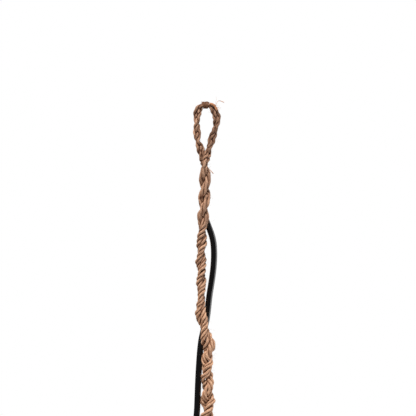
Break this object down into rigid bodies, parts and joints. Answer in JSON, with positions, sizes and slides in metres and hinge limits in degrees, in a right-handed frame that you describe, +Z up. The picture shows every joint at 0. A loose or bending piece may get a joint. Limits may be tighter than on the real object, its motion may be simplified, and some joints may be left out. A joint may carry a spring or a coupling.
{
  "type": "hanging planter",
  "caption": "Knotted jute hanger with a twisted rope, hanging loop and black cord, its four-leg net holding a tapered pot above a tassel.",
  "frame": {"origin": "where the hook bears on the inside of the hanging loop, on the rope's axis", "axes": "+Z up along the rope, +X to the right and +Y away from someone facing the planter"},
  "size_m": [0.1672, 0.1672, 0.9691],
  "materials": {
    "jute": "rough natural jute",
    "dark_twine": "waxed dark brown twine",
    "black_rubber": "smooth satin black",
    "stoneware": "matt off-white stoneware with fine speckles"
  },
  "bodies": {
    "loop": {"hanging_loop": "jute", "loop_whipping": "dark_twine", "loop_tail": "jute"},
    "rope": {"main_rope": "jute", "black_cord": "black_rubber"},
    "gather": {"gathered_core": "jute", "gathering_wrap": "black_rubber"},
    "cradle": {"cradle_leg_1": "jute", "cradle_leg_2": "jute", "cradle_leg_3": "jute", "cradle_leg_4": "jute", "rim_knot_1": "jute", "rim_knot_2": "jute", "rim_knot_3": "jute", "rim_knot_4": "jute", "net_cord_1": "jute", "net_cord_2": "jute", "net_cord_3": "jute", "net_cord_4": "jute", "net_cord_5": "jute", "net_cord_6": "jute", "net_cord_7": "jute", "net_cord_8": "jute", "lower_knot_1": "jute", "lower_knot_2": "jute", "lower_knot_3": "jute", "lower_knot_4": "jute", "base_cord_1": "jute", "base_cord_2": "jute", "base_cord_3": "jute", "base_cord_4": "jute", "bottom_knot": "jute"},
    "pot": {"pot": "stoneware"},
    "tassel": {"tassel": "jute"}
  },
  "joints": [
    {"name": "rope_swing", "type": "hinge", "parent": "loop", "child": "rope", "pos_m": [0, 0, -0.05], "axis": [0, 1, 0], "range_deg": [-20, 20]},
    {"name": "rope_twist", "type": "hinge", "parent": "rope", "child": "gather", "pos_m": [0, 0, -0.345], "axis": [0, 0, 1], "range_deg": [-180, 180]},
    {"name": "cradle_swing", "type": "hinge", "parent": "gather", "child": "cradle", "pos_m": [0, 0, -0.383], "axis": [1, 0, 0], "range_deg": [-15, 15]},
    {"name": "pot_turn", "type": "hinge", "parent": "cradle", "child": "pot", "pos_m": [0, 0, -0.785], "axis": [0, 0, 1], "continuous": true},
    {"name": "tassel_swing", "type": "hinge", "parent": "cradle", "child": "tassel", "pos_m": [0, 0, -0.8265], "axis": [0, 1, 0], "range_deg": [-30, 30]}
  ]
}
